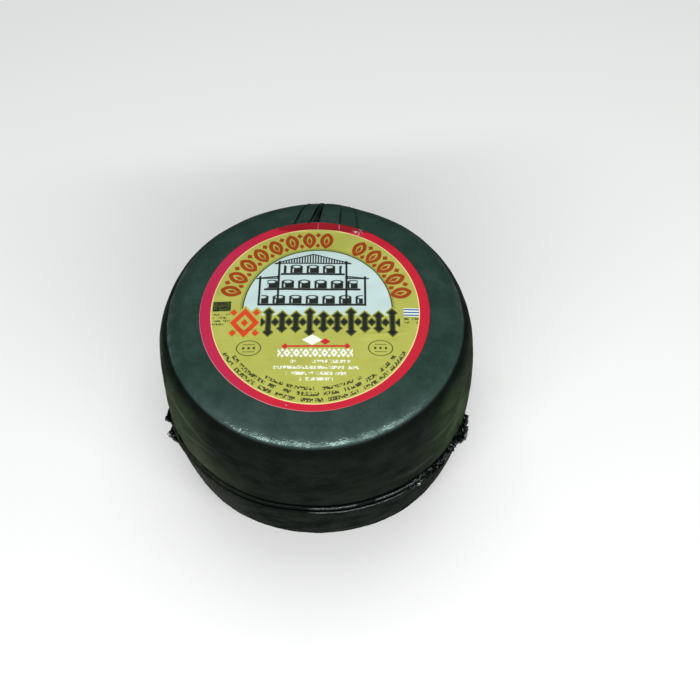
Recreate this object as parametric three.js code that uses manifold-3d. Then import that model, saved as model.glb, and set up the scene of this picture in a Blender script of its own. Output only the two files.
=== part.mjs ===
// A small wheel of hard cheese, shrunk into a dark film bag, with a round paper label on top.
// Millimetres, +Z up. The origin is the centre of the underside, and -Y is the front.
// Three pieces: the cheese, the bag round it, and the label stuck on the bag.

import * as THREE from "three";
import { mergeVertices } from "three/addons/utils/BufferGeometryUtils.js";
import Module from "manifold-3d";

// Driving dimensions of the wrapped wheel, measured outside the film.
const HEIGHT = 107;
const RIM_RADIUS = 81.5; // where the wall meets the rounded edges
const WALL_BULGE = 3.2; // how far the wall swells past the rims at mid-height
const SHOULDER = { across: 14, down: 20 }; // the soft top edge, deeper down the wall than across the top
const HEEL = { across: 10, down: 11.5 }; // the bottom edge, pressed a little squarer

// The film and what it wraps. The film is drawn thicker than its real 0.1 mm, so that it is a sound solid.
const FILM = 0.4;
const FILM_GAP = 0.3;
const CHEESE_INSET = FILM + FILM_GAP;

// The bag is a tube of film, welded across at the front and at the back. Each weld is folded down flat
// against the wall, and runs this far to either side of the middle of the front or the back.
const WELD = { top: 53, width: 4.6, proud: 0.9, halfSweep: THREE.MathUtils.degToRad(62) };
const EAR = {
  root: 17, // along the wall
  reach: 8.4, // to its point
  lean: 1.5, // how far the point leans towards the weld
  lobe: { reach: 4.6, place: 5.5 }, // its second, smaller point
  thickness: 1.4,
  letIn: 0.4, // more than the wall curves away behind the root
};
const MOUTH = { width: 12, height: 0.5 }; // the unwelded slit at the back, just above the weld

const LABEL = { radius: 58, thickness: 0.3, glueLine: 0.1 };

const SEGMENTS = 72; // facets round the wheel
const EDGE_STEPS = 7; // facets along each rounded edge
const WALL_STEPS = 9; // facets up the wall
const WELD_STEPS = 3; // facets down the weld

const FRONT = -Math.PI / 2;
const BACK = Math.PI / 2;

const COLOURS = {
  film: { color: 0x1b2421, roughness: 0.35, metalness: 0 },
  cheese: { color: 0xe3cf94, roughness: 0.7, metalness: 0 },
  paper: { color: 0xb3ad57, roughness: 0.45, metalness: 0.2 },
};

const wasm = await Module();
wasm.setup();

// Wall radius at a height, outside the film: straight rims with a shallow parabolic swell between.
function wallRadius(z) {
  const low = HEEL.down;
  const high = HEIGHT - SHOULDER.down;
  const share = (z - low) / (high - low);
  return RIM_RADIUS + 4 * WALL_BULGE * share * (1 - share);
}

// The wheel's half section, from the axis at the underside up to the axis at the top, moved in by inset.
function wheelProfile(inset) {
  const points = [new THREE.Vector2(0, inset)];
  const heelCentre = new THREE.Vector2(RIM_RADIUS - HEEL.across, HEEL.down);
  const shoulderCentre = new THREE.Vector2(RIM_RADIUS - SHOULDER.across, HEIGHT - SHOULDER.down);
  for (let i = 0; i <= EDGE_STEPS; i++) {
    const turn = (Math.PI / 2) * (i / EDGE_STEPS);
    const x = heelCentre.x + (HEEL.across - inset) * Math.sin(turn);
    const y = heelCentre.y - (HEEL.down - inset) * Math.cos(turn);
    points.push(new THREE.Vector2(x, y));
  }
  for (let i = 1; i < WALL_STEPS; i++) {
    const z = THREE.MathUtils.lerp(heelCentre.y, shoulderCentre.y, i / WALL_STEPS);
    points.push(new THREE.Vector2(wallRadius(z) - inset, z));
  }
  for (let i = 0; i <= EDGE_STEPS; i++) {
    const turn = (Math.PI / 2) * (i / EDGE_STEPS);
    const x = shoulderCentre.x + (SHOULDER.across - inset) * Math.cos(turn);
    const y = shoulderCentre.y + (SHOULDER.down - inset) * Math.sin(turn);
    points.push(new THREE.Vector2(x, y));
  }
  points.push(new THREE.Vector2(0, HEIGHT - inset));
  return points;
}

// A solid of revolution about +Z.
function turned(profile) {
  return new THREE.LatheGeometry(profile, SEGMENTS).rotateX(Math.PI / 2);
}

// A three.js geometry as a manifold-3d solid, placed by an optional matrix.
function solidOf(geometry, matrix = new THREE.Matrix4()) {
  const bare = geometry.clone().applyMatrix4(matrix);
  bare.deleteAttribute("normal");
  bare.deleteAttribute("uv");
  const merged = mergeVertices(bare, 1e-4);
  return new wasm.Manifold(
    new wasm.Mesh({
      numProp: 3,
      vertProperties: new Float32Array(merged.attributes.position.array),
      triVerts: new Uint32Array(merged.index.array),
    }),
  );
}

// The reverse: a manifold-3d solid as a three.js geometry.
function geometryOf(solid) {
  const mesh = solid.getMesh();
  const geometry = new THREE.BufferGeometry();
  geometry.setAttribute("position", new THREE.BufferAttribute(mesh.vertProperties, 3));
  geometry.setIndex(new THREE.BufferAttribute(mesh.triVerts, 1));
  geometry.computeVertexNormals();
  return geometry;
}

// An upright wedge through the whole height, centred on a bearing: it keeps a weld to its own sweep.
function sector(bearing, halfSweep) {
  const reach = 2 * RIM_RADIUS;
  const outline = new THREE.Shape();
  outline.moveTo(0, 0);
  outline.lineTo(reach * Math.cos(bearing - halfSweep), reach * Math.sin(bearing - halfSweep));
  outline.absarc(0, 0, reach, bearing - halfSweep, bearing + halfSweep, false);
  outline.closePath();
  return solidOf(new THREE.ExtrudeGeometry(outline, { depth: HEIGHT, bevelEnabled: false }));
}

// One welded fin, as a flat band that follows the wall's swell.
function weldBand(bearing) {
  const root = FILM / 2; // how deep the band is let into the film
  const outside = [];
  const inside = [];
  for (let i = 0; i <= WELD_STEPS; i++) {
    const z = WELD.top - WELD.width * (i / WELD_STEPS);
    inside.push(new THREE.Vector2(wallRadius(z) - root, z));
    outside.unshift(new THREE.Vector2(wallRadius(z) + WELD.proud, z));
  }
  const section = [...outside, ...inside];
  section.push(section[0].clone());
  return solidOf(turned(section)).intersect(sector(bearing, WELD.halfSweep));
}

// One free corner of the bag: a leaf of doubled film that stands out from the wall at a weld's end. Its point
// leans back along the weld, which lies on the side that weldSide gives: 1 or -1.
function ear(bearing, weldSide) {
  const outline = new THREE.Shape();
  outline.moveTo(0, (weldSide * EAR.root) / 2);
  outline.lineTo(EAR.reach, weldSide * EAR.lean);
  outline.lineTo(EAR.lobe.reach, -weldSide * EAR.lobe.place);
  outline.lineTo(0, (-weldSide * EAR.root) / 2);
  outline.closePath();
  const leaf = new THREE.ExtrudeGeometry(outline, { depth: EAR.thickness, bevelEnabled: false });
  const middle = WELD.top - WELD.width / 2;
  const rootRadius = wallRadius(middle) - FILM - EAR.letIn;
  const place = new THREE.Matrix4().makeTranslation(rootRadius, 0, middle - EAR.thickness / 2);
  const turn = new THREE.Matrix4().makeRotationZ(bearing);
  return solidOf(leaf, turn.multiply(place));
}

// A weld with its two ears.
function weldedEnd(bearing) {
  const ears = ear(bearing - WELD.halfSweep, 1).add(ear(bearing + WELD.halfSweep, -1));
  return weldBand(bearing).add(ears);
}

function cheeseWheel() {
  return turned(wheelProfile(CHEESE_INSET));
}

function shrinkBag() {
  const skin = solidOf(turned(wheelProfile(0)));
  const room = solidOf(turned(wheelProfile(FILM)));
  const slit = new THREE.BoxGeometry(MOUTH.width, 4 * FILM, MOUTH.height);
  const slitHeight = WELD.top + MOUTH.height;
  const slitPlace = new THREE.Matrix4().makeTranslation(0, wallRadius(slitHeight), slitHeight);
  const outside = skin.add(weldedEnd(FRONT)).add(weldedEnd(BACK));
  return geometryOf(outside.subtract(room).subtract(solidOf(slit, slitPlace)));
}

function paperLabel() {
  const disc = new THREE.CylinderGeometry(LABEL.radius, LABEL.radius, LABEL.thickness, SEGMENTS);
  return disc.rotateX(Math.PI / 2).translate(0, 0, HEIGHT + LABEL.glueLine + LABEL.thickness / 2);
}

function named(name, geometry, finish) {
  const mesh = new THREE.Mesh(geometry, new THREE.MeshStandardMaterial(finish));
  mesh.name = name;
  return mesh;
}

const wrappedCheese = new THREE.Group();
wrappedCheese.add(
  named("cheese_wheel", cheeseWheel(), COLOURS.cheese),
  named("shrink_bag", shrinkBag(), COLOURS.film),
  named("label", paperLabel(), COLOURS.paper),
);

export default wrappedCheese;
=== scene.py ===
"""A small wheel of hard cheese in shrunk film, with a printed paper label, standing on a pale floor.

Metres, +Z up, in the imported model's frame: the wheel stands on z = 0, and -Y is its front.
The cheese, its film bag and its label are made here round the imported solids, a class to each.
"""

import functools
import logging
import math
from dataclasses import dataclass, field
from enum import Enum
from math import pi, radians
from typing import Callable

import bpy
import numpy as np
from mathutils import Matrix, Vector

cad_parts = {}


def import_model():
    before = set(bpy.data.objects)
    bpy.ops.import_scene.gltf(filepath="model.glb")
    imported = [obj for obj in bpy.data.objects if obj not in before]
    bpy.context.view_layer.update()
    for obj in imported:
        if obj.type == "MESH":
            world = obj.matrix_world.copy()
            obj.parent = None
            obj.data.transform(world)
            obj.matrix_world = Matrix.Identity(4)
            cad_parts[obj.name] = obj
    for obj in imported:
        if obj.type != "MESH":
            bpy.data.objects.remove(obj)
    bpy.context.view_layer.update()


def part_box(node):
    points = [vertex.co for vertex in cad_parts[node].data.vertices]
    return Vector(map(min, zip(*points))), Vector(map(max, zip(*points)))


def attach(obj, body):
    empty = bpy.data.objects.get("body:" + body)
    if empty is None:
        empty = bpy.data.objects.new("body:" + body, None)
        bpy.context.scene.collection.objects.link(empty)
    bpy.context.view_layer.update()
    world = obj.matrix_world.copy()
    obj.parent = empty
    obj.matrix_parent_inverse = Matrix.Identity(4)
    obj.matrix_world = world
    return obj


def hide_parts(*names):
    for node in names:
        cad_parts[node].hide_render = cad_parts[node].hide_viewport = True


MM = 0.001
FRONT = -pi / 2
BACK = pi / 2

Array = np.ndarray
Colour = tuple[float, float, float]
Pair = tuple[float, float]
Object = bpy.types.Object
Material = bpy.types.Material
Node = bpy.types.Node
Socket = bpy.types.NodeSocket

log = logging.getLogger("wrapped_cheese")


# --------------------------------------------------------------------------- shader arithmetic


def math_operator(operation: str) -> Callable[["Value", "Value | float"], "Value"]:
    """Makes an overloaded operator for the class below.

    Args:
        operation: what its Math node does.

    Returns:
        The operator's method.
    """

    def method(self: "Value", other: "Value | float") -> "Value":
        """Returns: the result of the operation on self and other."""
        return self.shader.math(operation, self, other)

    return method


class Value:
    """A number socket that takes part in ordinary arithmetic. As a mask it runs from 0 to 1."""

    def __init__(self, shader: "Shader", socket: Socket) -> None:
        """Args: shader: the material it belongs to. socket: the output it reads."""
        self.shader = shader
        self.socket = socket

    __add__ = __radd__ = math_operator("ADD")
    __sub__ = math_operator("SUBTRACT")
    __mul__ = __rmul__ = math_operator("MULTIPLY")
    __mod__ = math_operator("FLOORED_MODULO")  # never negative
    __lt__ = math_operator("LESS_THAN")
    __and__ = math_operator("MINIMUM")  # the mask where both masks are
    __or__ = math_operator("MAXIMUM")  # the mask where either mask is

    def __rsub__(self, other: float) -> "Value":
        """Returns: other - self."""
        return self.shader.math("SUBTRACT", other, self)

    def __abs__(self) -> "Value":
        """Returns: the size of self."""
        return self.shader.math("ABSOLUTE", self)

    def __invert__(self) -> "Value":
        """Returns: the mask where this one isn't."""
        return 1.0 - self

    def inside(self, soft: float) -> "Value":
        """Turns a signed distance into a mask, 1 inside the shape.

        Args:
            soft: the width of the edge.

        Returns:
            The mask.
        """
        return self.shader.math("MULTIPLY_ADD", self, -1.0 / soft, 0.5, clamp=True)

    def ramp(self, low: float, high: float) -> "Value":
        """Returns: 0 at low rising smoothly to 1 at high, or the reverse if low is above high."""
        settings = {"interpolation_type": "SMOOTHSTEP"}
        node = self.shader.node("ShaderNodeMapRange", settings, {"Value": self, 1: low, 2: high})
        return Value(self.shader, node.outputs[0])


class Shader:
    """A material under construction: it makes the nodes and keeps the Principled shader that they feed."""

    def __init__(self, name: str) -> None:
        """Args: name: the material's name."""
        self.material = bpy.data.materials.new(name)
        self.material.use_nodes = True
        self.tree = self.material.node_tree
        self.surface = self.tree.nodes["Principled BSDF"]

    def node(
        self,
        kind: str,
        settings: dict[str, object] | None = None,
        sockets: dict[str | int, object] | None = None,
    ) -> Node:
        """Makes any node.

        Args:
            kind: the node's type.
            settings: its properties, set first.
            sockets: for each input, by name or place, a number, a colour, a Value or an output to link.

        Returns:
            The node.
        """
        made = self.tree.nodes.new(kind)
        for key, value in (settings or {}).items():
            setattr(made, key, value)
        for key, value in (sockets or {}).items():
            self.feed(made.inputs[key], value)
        return made

    def feed(self, socket: Socket, value: object) -> None:
        """Links or sets one input.

        Args:
            socket: the input.
            value: a Value or an output socket to link, or a plain number, vector or colour.
        """
        if isinstance(value, Value):
            value = value.socket
        if isinstance(value, Socket):
            self.tree.links.new(value, socket)
        elif socket.type == "RGBA" and len(value) == 3:
            socket.default_value = (*value, 1.0)
        else:
            socket.default_value = value

    def finish(self, **sockets: object) -> Material:
        """Feeds the Principled shader.

        Args:
            sockets: its inputs, with underscores for spaces.

        Returns:
            The finished material.
        """
        for key, value in sockets.items():
            self.feed(self.surface.inputs[key.replace("_", " ")], value)
        return self.material

    def lay_over(self, mask: Value, **sockets: object) -> None:
        """Lays a second Principled surface over the first.

        Args:
            mask: where it shows.
            sockets: its inputs, with underscores for spaces.
        """
        named = {key.replace("_", " "): value for key, value in sockets.items()}
        second = self.node("ShaderNodeBsdfPrincipled", {}, named)
        surfaces = {0: mask, 1: self.surface.outputs[0], 2: second.outputs[0]}
        both = self.node("ShaderNodeMixShader", {}, surfaces)
        self.feed(self.tree.nodes["Material Output"].inputs["Surface"], both.outputs[0])

    def math(self, operation: str, *terms: "Value | float", clamp: bool = False) -> Value:
        """Returns: the result of a Math node with this operation on these terms."""
        settings = {"operation": operation, "use_clamp": clamp}
        return Value(self, self.node("ShaderNodeMath", settings, dict(enumerate(terms))).outputs[0])

    def vector(self, operation: str, *terms: object, scale: float | None = None) -> Node:
        """Returns: a Vector Math node with this operation on these terms."""
        sockets = dict(enumerate(terms))
        if scale is not None:
            sockets["Scale"] = scale
        return self.node("ShaderNodeVectorMath", {"operation": operation}, sockets)

    def place(self) -> Socket:
        """Returns: the place of the shaded point, in the part's own frame."""
        return self.node("ShaderNodeTexCoord").outputs["Object"]

    def turned(self, place: Socket) -> Socket:
        """Returns: the place turned askew, so that large grains of noise don't lie square to the frame."""
        sockets = {"Vector": place, "Rotation": (0.6, 0.5, 0.9)}
        return self.node("ShaderNodeVectorRotate", {"rotation_type": "EULER_XYZ"}, sockets).outputs[0]

    def split(self, vector: Socket) -> tuple[Value, Value, Value]:
        """Returns: a vector's three numbers."""
        outputs = self.node("ShaderNodeSeparateXYZ", {}, {0: vector}).outputs
        return Value(self, outputs[0]), Value(self, outputs[1]), Value(self, outputs[2])

    def joined(self, x: Value, y: "Value | float", z: float = 0.0) -> Socket:
        """Returns: a vector made of three numbers."""
        return self.node("ShaderNodeCombineXYZ", {}, {0: x, 1: y, 2: z}).outputs[0]

    def length(self, vector: Socket) -> Value:
        """Returns: a vector's length."""
        return Value(self, self.vector("LENGTH", vector).outputs["Value"])

    def noise(
        self, place: Socket, size: float, detail: float = 2.0, roughness: float = 0.5
    ) -> Value:
        """Noise, about 0.5 on average.

        Args:
            place: where it is read.
            size: the size of its grains.
            detail: how many finer layers it has.
            roughness: how strong those are.

        Returns:
            The noise's value.
        """
        sockets = {"Vector": place, "Scale": 1.0 / size, "Detail": detail, "Roughness": roughness}
        return Value(self, self.node("ShaderNodeTexNoise", {}, sockets).outputs["Fac"])

    def specks(self, place: Socket, spacing: float, size: float, share: float) -> Value:
        """A mask of small round specks, strewn at random.

        Args:
            place: where it is read.
            spacing: the mean distance between the cells that may hold one.
            size: a speck's radius.
            share: the share of the cells that hold one.

        Returns:
            The mask.
        """
        cells = self.node("ShaderNodeTexVoronoi", {}, {"Vector": place, "Scale": 1.0 / spacing})
        distance = Value(self, cells.outputs["Distance"])
        lot = self.split(cells.outputs["Color"])[0]
        return distance.ramp(size / spacing, 0.6 * size / spacing) & (lot < share)

    def attribute(self, name: str) -> Value:
        """Returns: a number that the mesh holds at each point."""
        node = self.node("ShaderNodeAttribute", {"attribute_name": name, "attribute_type": "GEOMETRY"})
        return Value(self, node.outputs["Fac"])

    def mix(self, factor: "Value | float", under: object, over: object) -> Socket:
        """Returns: the colour under, with the colour over laid on it by the factor."""
        sockets = {0: factor, 6: under, 7: over}
        return self.node("ShaderNodeMix", {"data_type": "RGBA"}, sockets).outputs[2]

    def bump(self, height: Value, depth: float, below: object = None) -> Socket:
        """Returns: a normal bent by a height of 0 to 1, whose full range is so deep, on top of another."""
        node = self.node("ShaderNodeBump", {}, {"Height": height, "Strength": 1.0, "Distance": depth})
        if below is not None:
            self.feed(node.inputs["Normal"], below)
        return node.outputs["Normal"]


# --------------------------------------------------------------------------- mesh helpers


def smooth(value: Array, low: float, high: float) -> Array:
    """Returns: 0 at low rising smoothly to 1 at high, or falling if low is above high."""
    share = np.clip((value - low) / (high - low), 0.0, 1.0)
    return share * share * (3.0 - 2.0 * share)


def hump(value: Array, width: float) -> Array:
    """Returns: a rounded hump, 1 at zero and faded out past its width."""
    return np.exp(-((value / width) ** 2))


def turned_from(azimuth: Array, bearing: float) -> Array:
    """Returns: how far an azimuth lies from a bearing, between -pi and pi."""
    return (azimuth - bearing + pi) % (2 * pi) - pi


@dataclass(frozen=True)
class Waves:
    """Smooth seeded noise of one grain size, as a sum of plane waves in random directions."""

    grain: float
    seed: int
    count: int = 14

    def at(self, *axes: Array) -> Array:
        """Reads the noise.

        Args:
            axes: the coordinates of the points, in metres.

        Returns:
            Values of about -1 to 1.
        """
        random = np.random.default_rng(self.seed)
        total = np.zeros(np.broadcast(*axes).shape)
        for _ in range(self.count):
            direction = random.normal(size=len(axes))
            direction *= 2 * pi / self.grain * random.uniform(0.6, 1.4) / np.linalg.norm(direction)
            phase = random.uniform(0, 2 * pi)
            total += np.cos(sum(d * axis for d, axis in zip(direction, axes)) + phase)
        return total / math.sqrt(self.count)


@dataclass
class Mesh:
    """Points and faces gathered for one piece."""

    points: list[Array] = field(default_factory=list)
    faces: list[tuple[int, ...]] = field(default_factory=list)
    count: int = 0

    def add(self, points: Array) -> int:
        """Args: points: rows of x, y, z. Returns: the first one's number."""
        first = self.count
        self.points.append(points.reshape(-1, 3))
        self.count += self.points[-1].shape[0]
        return first

    def grid(self, points: Array, around: bool = False, flip: bool = False) -> Array:
        """Adds a sheet of quads.

        Args:
            points: an array of rows, columns and x, y, z.
            around: whether the last column joins the first.
            flip: whether the faces point the other way.

        Returns:
            The numbers of the points, as rows and columns.
        """
        rows, columns = points.shape[:2]
        number = self.add(points) + np.arange(rows * columns).reshape(rows, columns)
        ring = np.hstack([number, number[:, :1]]) if around else number
        self.bridge(ring[:-1], ring[1:], flip)
        return number

    def bridge(self, lower: Array, upper: Array, flip: bool = False) -> None:
        """Joins rows of points to the rows above them with quads.

        Args:
            lower: the numbers of the points below, as one row or several.
            upper: those of the points above, in the same shape.
            flip: whether the faces point the other way.
        """
        lower, upper = np.atleast_2d(lower), np.atleast_2d(upper)
        corners = [lower[:, :-1], lower[:, 1:], upper[:, 1:], upper[:, :-1]]
        if flip:
            corners.reverse()
        self.faces.extend(map(tuple, np.stack([c.ravel() for c in corners], axis=1).tolist()))

    def fan(self, centre: Array, rim: Array, flip: bool = False) -> None:
        """Closes a round opening with triangles to one point.

        Args:
            centre: that point.
            rim: the numbers of the points round the opening, in order.
            flip: whether the faces point the other way.
        """
        middle = self.add(centre)
        for here, after in zip(rim, np.roll(rim, -1)):
            self.faces.append((middle, int(after), int(here)) if flip else (middle, int(here), int(after)))

    def object(self, name: str) -> Object:
        """Returns: a new smooth-shaded object of this name, linked to the scene."""
        mesh = bpy.data.meshes.new(name)
        mesh.from_pydata(np.concatenate(self.points), [], self.faces)
        mesh.polygons.foreach_set("use_smooth", [True] * len(mesh.polygons))
        mesh.validate()
        made = bpy.data.objects.new(name, mesh)
        bpy.context.scene.collection.objects.link(made)
        return made


def hold(piece: Object, name: str, values: Array) -> None:
    """Stores a number at each of a mesh's points, for its material.

    Args:
        piece: the mesh.
        name: the attribute's name.
        values: a number for each point.
    """
    piece.data.attributes.new(name, "FLOAT", "POINT").data.foreach_set("value", values)


def normals_of(points: Array) -> Array:
    """The unit normals of a sheet.

    Args:
        points: an array of rows, columns and x, y, z.

    Returns:
        An array of the same shape, pointing to the side from which columns run anticlockwise to rows.
    """
    normal = np.cross(np.gradient(points, axis=1), np.gradient(points, axis=0))
    return normal / np.maximum(np.linalg.norm(normal, axis=2, keepdims=True), 1e-12)


def polar(radius: Array, azimuth: Array, z: Array) -> Array:
    """Returns: points given by their radii, azimuths and heights, as rows, columns and x, y, z."""
    return np.stack([radius * np.cos(azimuth), radius * np.sin(azimuth), z + 0 * azimuth], axis=2)


def closed_rings(name: str, points: Array) -> Object:
    """Makes a closed piece from rings of points.

    Args:
        name: the piece's name.
        points: the rings from the lowest up, as an array of rings, places round each and x, y, z.

    Returns:
        The piece. The middle of the underside and then the middle of the top are its last two points.
    """
    mesh = Mesh()
    rings = mesh.grid(points, around=True)
    mesh.fan(np.array([[0, 0, points[0, :, 2].mean()]]), rings[0], flip=True)
    mesh.fan(np.array([[0, 0, points[-1, :, 2].mean()]]), rings[-1])
    return mesh.object(name)


def leaf(name: str, middle: Array, thickness: Array | float, **marks: Array | float) -> Object:
    """Makes a piece that is a thin closed leaf.

    Args:
        name: the piece's name.
        middle: its middle surface, as rows, columns and x, y, z.
        thickness: one thickness, or one for each point.
        marks: for its material, numbers for each point of its middle surface, by name.

    Returns:
        The piece.
    """
    mesh = Mesh()
    half = normals_of(middle) * np.asarray(thickness)[..., None] / 2
    face = mesh.grid(middle + half)
    reverse = mesh.grid(middle - half, flip=True)
    edges = [(face[0], reverse[0]), (face[:, -1], reverse[:, -1])]
    edges += [(face[-1, ::-1], reverse[-1, ::-1]), (face[::-1, 0], reverse[::-1, 0])]
    for over, under in edges:
        mesh.bridge(under, over)
    piece = mesh.object(name)
    for attribute, values in marks.items():
        hold(piece, attribute, np.tile((values + 0 * middle[..., 0]).ravel(), 2))
    return piece


# --------------------------------------------------------------------------- the wheel's shape


@dataclass(frozen=True)
class Seam:
    """Where the bag's two ends are welded and folded down against the wall."""

    top: float = 53.0 * MM
    width: float = 4.6 * MM
    half_sweep: float = radians(62.0)
    groove: float = 0.45 * MM

    def along(self, azimuth: Array) -> Array:
        """Returns: 1 beside either weld, fading to 0 past its ends."""
        past = np.minimum(abs(turned_from(azimuth, FRONT)), abs(turned_from(azimuth, BACK)))
        return smooth(past, self.half_sweep + radians(4.0), self.half_sweep - radians(6.0))

    def level(self, azimuth: Array | float) -> Array | float:
        """Returns: the height of the weld's top at an azimuth: it climbs a little at the left."""
        return self.top + 3.2 * MM * hump(turned_from(azimuth, radians(-165.0)), radians(42.0))

    def below(self, z: Array, azimuth: Array) -> Array:
        """Returns: 1 under the welds, 0 over them. Between them it fades slowly down the wall."""
        along = self.along(azimuth)
        under_top = self.level(azimuth) - z
        slowly = smooth(under_top, -22 * MM, 34 * MM)
        return along * smooth(under_top, 2 * MM, 6 * MM) + (1 - along) * slowly

    def ends(self) -> list[float]:
        """Returns: the bearings of the four corners of the bag."""
        return [bearing + side * self.half_sweep for bearing in (FRONT, BACK) for side in (-1, 1)]


@dataclass(frozen=True)
class Pleat:
    """A fold of surplus film that runs from under the label over the back edge, down to the weld."""

    start: float  # its bearing from the middle of the back, where it leaves the label, in degrees
    closing: float  # the run in which its distance from the gathering line falls to a third
    height: float
    width: float = 0.42 * MM

    FOOT = -3.5  # the bearing where the pleats gather, in degrees from the middle of the back
    GATHERED = 0.10  # the share of their spread that is left there


@dataclass(frozen=True)
class WheelForm:
    """The outside shape of the wrapped wheel, which the film, cheese, welds and label all follow."""

    height: float
    rim_radius: float
    label_radius: float
    bulge: float = 3.2 * MM
    shoulder_across: float = 14.0 * MM
    shoulder_down: float = 20.0 * MM
    heel_across: float = 10.0 * MM
    heel_down: float = 11.5 * MM
    shoulder_power: float = 1.9
    crown: float = 1.3 * MM
    seam: Seam = Seam()
    swells: tuple[tuple[float, ...], ...] = ((84.0, 11.0, 1.15), (20.0, 17.0, -1.1), (-20.0, 12.0, -0.5))
    # Each swell of the upper wall has its bearing and width in degrees, and how far it stands out in mm.
    wall_creases: tuple[tuple[float, ...], ...] = (
        (-146.0, 15.0, 84.5, 0.10, 0.30),
        (-137.0, 8.0, 74.0, -0.35, 0.16),
        (-38.0, 9.0, 76.0, 0.30, 0.18),
        (-51.0, 7.0, 64.0, 0.16, 0.14),
        (20.0, 14.0, 80.0, -0.12, 0.22),
        (150.0, 16.0, 70.0, 0.20, 0.22),
    )  # each with its bearing and length in degrees, level in mm, slope in mm a degree, and height in mm
    pleats: tuple[Pleat, ...] = (
        Pleat(13.8, 25 * MM, 0.62 * MM),
        Pleat(6.2, 12 * MM, 0.80 * MM),
        Pleat(3.2, 12 * MM, 0.60 * MM),
        Pleat(0.8, 14 * MM, 0.72 * MM),
        Pleat(-11.8, 60 * MM, 0.42 * MM),
        Pleat(-22.5, 34 * MM, 0.36 * MM),
    )

    def wall_radius(self, z: Array | float) -> Array | float:
        """Returns: the wall's radius at a height, before any relief."""
        low, high = self.heel_down, self.height - self.shoulder_down
        share = (z - low) / (high - low)
        return self.rim_radius + 4.0 * self.bulge * share * (1.0 - share)

    def on_wall(self, r: Array) -> Array:
        """Returns: 1 on the wall and the edges beside it, 0 nearer the axis."""
        return r > 0.8 * self.rim_radius

    def outline(self) -> tuple[Array, Array]:
        """Returns: a fine half section's radii and heights, from the underside's middle to the top's."""
        steps = np.linspace(0.0, 1.0, 400)
        bend = steps * pi / 2
        heel_r = self.rim_radius - self.heel_across * (1 - np.sin(bend))
        heel_z = self.heel_down * (1 - np.cos(bend))
        wall_z = self.heel_down + (self.height - self.shoulder_down - self.heel_down) * steps[1:-1]
        power = 2.0 / self.shoulder_power
        across = self.shoulder_across * (1 - np.cos(bend) ** power)
        down = self.shoulder_down * (1 - np.sin(bend) ** power)
        top_r = (self.rim_radius - self.shoulder_across) * (1 - steps[1:])
        radii = [heel_r[0] * steps[:-1], heel_r, self.wall_radius(wall_z), self.rim_radius - across, top_r]
        heights = [0 * steps[:-1], heel_z, wall_z, self.height - down, self.height + 0 * top_r]
        r, z = np.concatenate(radii), np.concatenate(heights)
        lowering = self.crown * np.clip(r / self.label_radius, 0, 1.2) ** 2
        return r, np.where(z > self.height / 2, z - lowering * smooth(z, self.height / 2, self.height), z)

    def section(self, spacing: float) -> tuple[Array, Array, Array, Array]:
        """Spaces rows along the half section, closer at the weld and the edges than in the middle.

        Args:
            spacing: the mean distance between rows on the wall.

        Returns:
            Radii, heights, and the outward normals' radial and upward parts.
        """
        r, z = self.outline()
        length = np.concatenate([[0.0], np.cumsum(np.hypot(np.diff(r), np.diff(z)))])
        near_weld = hump(z - (self.seam.top - self.seam.width / 2), 6.0 * MM) * (r > 0.9 * self.rim_radius)
        density = 0.4 + 0.6 * smooth(r, 0.7 * self.rim_radius, 0.8 * self.rim_radius) + 1.6 * near_weld
        weight = np.concatenate([[0.0], np.cumsum(np.diff(length) * (density[1:] + density[:-1]) / 2)])
        rows = int(round(weight[-1] / spacing))
        at = np.interp(np.linspace(0, weight[-1], rows + 1), weight, length)
        row_r, row_z = np.interp(at, length, r), np.interp(at, length, z)
        slope_r, slope_z = np.gradient(row_r, at), np.gradient(row_z, at)
        size = np.hypot(slope_r, slope_z)
        return row_r, row_z, slope_z / size, -slope_r / size

    def top_distance(self, r: Array, z: Array) -> Array:
        """Returns: roughly how far a point lies along the film from the label's edge, outwards and down."""
        return np.where(z > self.height / 2, r - self.label_radius, 0.0) + np.clip(self.height - z, 0, None)

    def body(self, r: Array, z: Array, azimuth: Array) -> Array:
        """The slow unevenness of the cheese itself.

        Args:
            r: the radii of the points.
            z: their heights.
            azimuth: their azimuths.

        Returns:
            How far each point lies off the even form.
        """
        x, y = r * np.cos(azimuth), r * np.sin(azimuth)
        edge = smooth(r, 0.5 * self.rim_radius, self.rim_radius)
        round_off = 0.25 * np.cos(2 * azimuth + 0.6) + 0.25 * np.cos(3 * azimuth - 0.9)
        upper = smooth(z, 0.25 * self.height, 0.85 * self.height)
        round_off = round_off - (0.95 - 0.85 * upper) * np.cos(4 * azimuth)
        round_off += 0.5 * upper * np.cos(azimuth + pi / 4)
        round_off += 0.6 * (1 - upper) * np.cos(azimuth + 1.1)
        for bearing, width, out in self.swells:
            turn = np.degrees(turned_from(azimuth, radians(bearing)))
            round_off += out * upper * hump(turn, width)
        lift = round_off * MM * edge
        lift += 0.22 * MM * Waves(46 * MM, 3).at(x, y, z)
        lift += 0.07 * MM * Waves(14 * MM, 5).at(x, y, z)
        below = smooth(z, self.seam.top - self.seam.width, 36 * MM) * smooth(z, 2 * MM, 20 * MM)
        return lift + 0.5 * MM * below * edge

    def dip(self, r: Array, azimuth: Array) -> Array:
        """Returns: how far the back of the top is pressed down, past a chord across the label's rim."""
        x, y = r * np.cos(azimuth), r * np.sin(azimuth)
        chord = 0.885 * self.label_radius - 0.04 * x
        past = np.clip(y - chord, 0.0, 9.0 * MM)
        return 0.04 * past * smooth(abs(x), 34 * MM, 20 * MM)

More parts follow.
